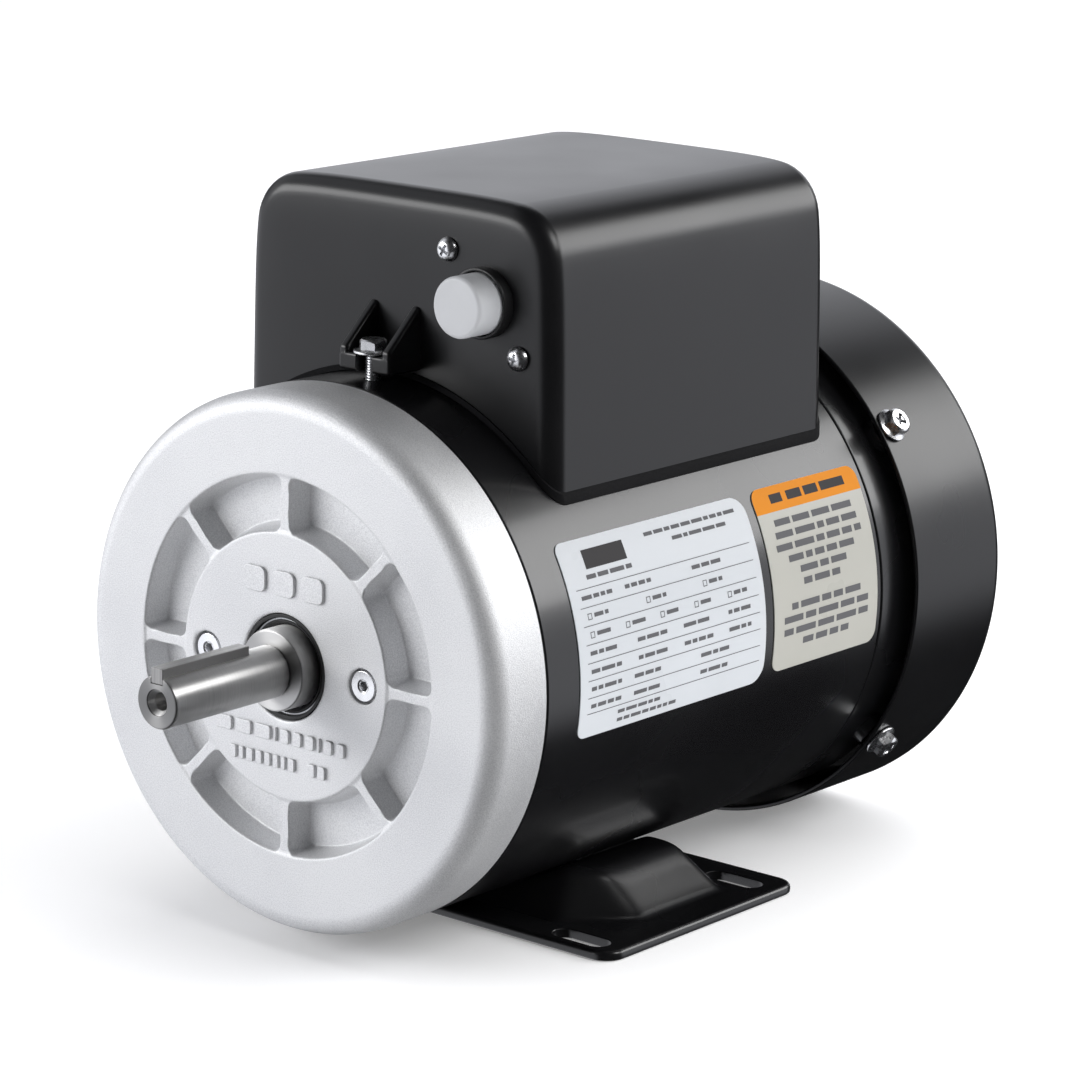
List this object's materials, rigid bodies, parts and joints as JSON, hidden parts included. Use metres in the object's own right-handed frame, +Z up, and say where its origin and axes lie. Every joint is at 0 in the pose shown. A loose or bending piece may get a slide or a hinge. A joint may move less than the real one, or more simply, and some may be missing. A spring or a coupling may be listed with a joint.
{
  "type": "electric motor",
  "caption": "Enclosed fan-cooled single-phase motor on a pressed steel foot, with keyed shaft, ribbed aluminium end shield, capacitor box and reset button.",
  "frame": {"origin": "middle of the bounding box in plan, on the plane the foot stands on", "axes": "+Z up, the shaft axis along Y with its free end toward -Y, +X to the right seen from the shaft end"},
  "size_m": [0.1766, 0.3026, 0.227],
  "materials": {
    "cast_aluminium": "sand-blasted silver casting, fine grain",
    "black_paint": "gloss black enamel",
    "black_steel": "satin black enamel",
    "ground_steel": "turned and ground",
    "key_steel": "drawn bar",
    "zinc": "bright zinc plate",
    "bearing_steel": "polished",
    "brass_cage": "polished balls in a pressed cage",
    "rubber": "matte",
    "foam": "closed-cell foam, matte",
    "lamination": "stacked electrical steel",
    "copper": "enamelled copper wire",
    "rotor_aluminium": "die cast",
    "phenolic": "matte",
    "spring_steel": "oiled",
    "white_plastic": "fine matte texture",
    "grey_plastic": "matte",
    "black_plastic": "matte",
    "label_silver": "printed film, no wording",
    "label_cream": "printed film, no wording",
    "brass": "bright",
    "capacitor_case": "moulded case",
    "capacitor_can": "drawn can"
  },
  "bodies": {
    "motor_frame": {"drive_bearing_outer_race": "bearing_steel", "rear_bearing_outer_race": "bearing_steel", "drive_end_shield": "cast_aluminium", "shaft_seal": "rubber", "bearing_cap": "cast_aluminium", "bearing_cap_screw_left": "zinc", "bearing_cap_screw_right": "zinc", "stator_shell": "black_paint", "lead_grommet": "rubber", "stator_core": "lamination", "main_winding": "copper", "start_winding": "copper", "switch_plate": "phenolic", "rear_end_shield": "black_paint", "wave_spring": "spring_steel", "through_bolt_1": "zinc", "through_bolt_2": "zinc", "through_bolt_3": "zinc", "through_bolt_4": "zinc", "fan_cover": "black_paint", "cowl_screw_upper_right": "zinc", "cowl_screw_lower_right": "zinc", "cowl_screw_lower_left": "zinc", "cowl_screw_upper_left": "zinc", "foot_base": "black_paint", "capacitor_box": "black_steel", "box_gasket": "foam", "box_bolt_front": "zinc", "box_bolt_rear": "zinc", "reset_spring": "spring_steel", "overload_protector": "black_plastic", "overload_screw_upper": "zinc", "overload_screw_lower": "zinc", "start_capacitor": "capacitor_case", "run_capacitor": "capacitor_can", "capacitor_cradle": "grey_plastic", "capacitor_strap": "spring_steel", "terminal_board": "phenolic", "terminal_stud_1": "brass", "terminal_stud_2": "brass", "cable_gland_body": "black_plastic", "cable_gland_nut": "black_plastic", "rating_label": "label_silver", "notice_label": "label_cream"},
    "rotor": {"shaft": "ground_steel", "shaft_key": "key_steel", "drive_bearing_inner_race": "bearing_steel", "rear_bearing_inner_race": "bearing_steel", "rotor_core": "lamination", "rotor_cage": "rotor_aluminium", "governor_plate": "spring_steel", "fan": "black_plastic", "fan_clip": "spring_steel"},
    "drive_ball_set": {"drive_bearing_balls": "brass_cage"},
    "rear_ball_set": {"rear_bearing_balls": "brass_cage"},
    "governor_slide": {"governor_collar": "phenolic"},
    "right_weight": {"governor_weight_right": "zinc"},
    "left_weight": {"governor_weight_left": "zinc"},
    "switch_lever": {"switch_arm": "brass"},
    "reset_plunger": {"reset_button": "white_plastic"}
  },
  "joints": [
    {"name": "rotor_spin", "type": "hinge", "parent": "motor_frame", "child": "rotor", "pos_m": [0, 0, 0.0889], "axis": [0, 1, 0], "continuous": true},
    {"name": "drive_balls_spin", "type": "hinge", "parent": "motor_frame", "child": "drive_ball_set", "pos_m": [0, 0, 0.0889], "axis": [0, 1, 0], "continuous": true},
    {"name": "rear_balls_spin", "type": "hinge", "parent": "motor_frame", "child": "rear_ball_set", "pos_m": [0, 0, 0.0889], "axis": [0, 1, 0], "continuous": true},
    {"name": "governor_travel", "type": "slide", "parent": "rotor", "child": "governor_slide", "axis": [0, -1, 0], "range_m": [0, 0.0031], "stiffness_N_per_m": 1500, "springref_m": -0.002},
    {"name": "right_weight_swing", "type": "hinge", "parent": "rotor", "child": "right_weight", "pos_m": [0.026, 0.07775, 0.0889], "axis": [0, 0, 1], "range_deg": [0, 15]},
    {"name": "left_weight_swing", "type": "hinge", "parent": "rotor", "child": "left_weight", "pos_m": [-0.026, 0.07775, 0.0889], "axis": [0, 0, -1], "range_deg": [0, 15]},
    {"name": "switch_arm_swing", "type": "hinge", "parent": "motor_frame", "child": "switch_lever", "pos_m": [0, 0.08795, 0.1214], "axis": [-1, 0, 0], "range_deg": [0, 8]},
    {"name": "reset_press", "type": "slide", "parent": "motor_frame", "child": "reset_plunger", "axis": [0, 1, 0], "range_m": [0, 0.003], "stiffness_N_per_m": 800, "springref_m": -0.002, "deforming": ["reset_spring"]}
  ],
  "couplings": [
    {"joint": "drive_balls_spin", "follows": "rotor_spin", "ratio": 0.397},
    {"joint": "rear_balls_spin", "follows": "rotor_spin", "ratio": 0.384},
    {"joint": "right_weight_swing", "follows": "governor_travel", "rad_per_m": 84},
    {"joint": "left_weight_swing", "follows": "governor_travel", "rad_per_m": 84},
    {"joint": "switch_arm_swing", "follows": "governor_travel", "rad_per_m": 45}
  ]
}
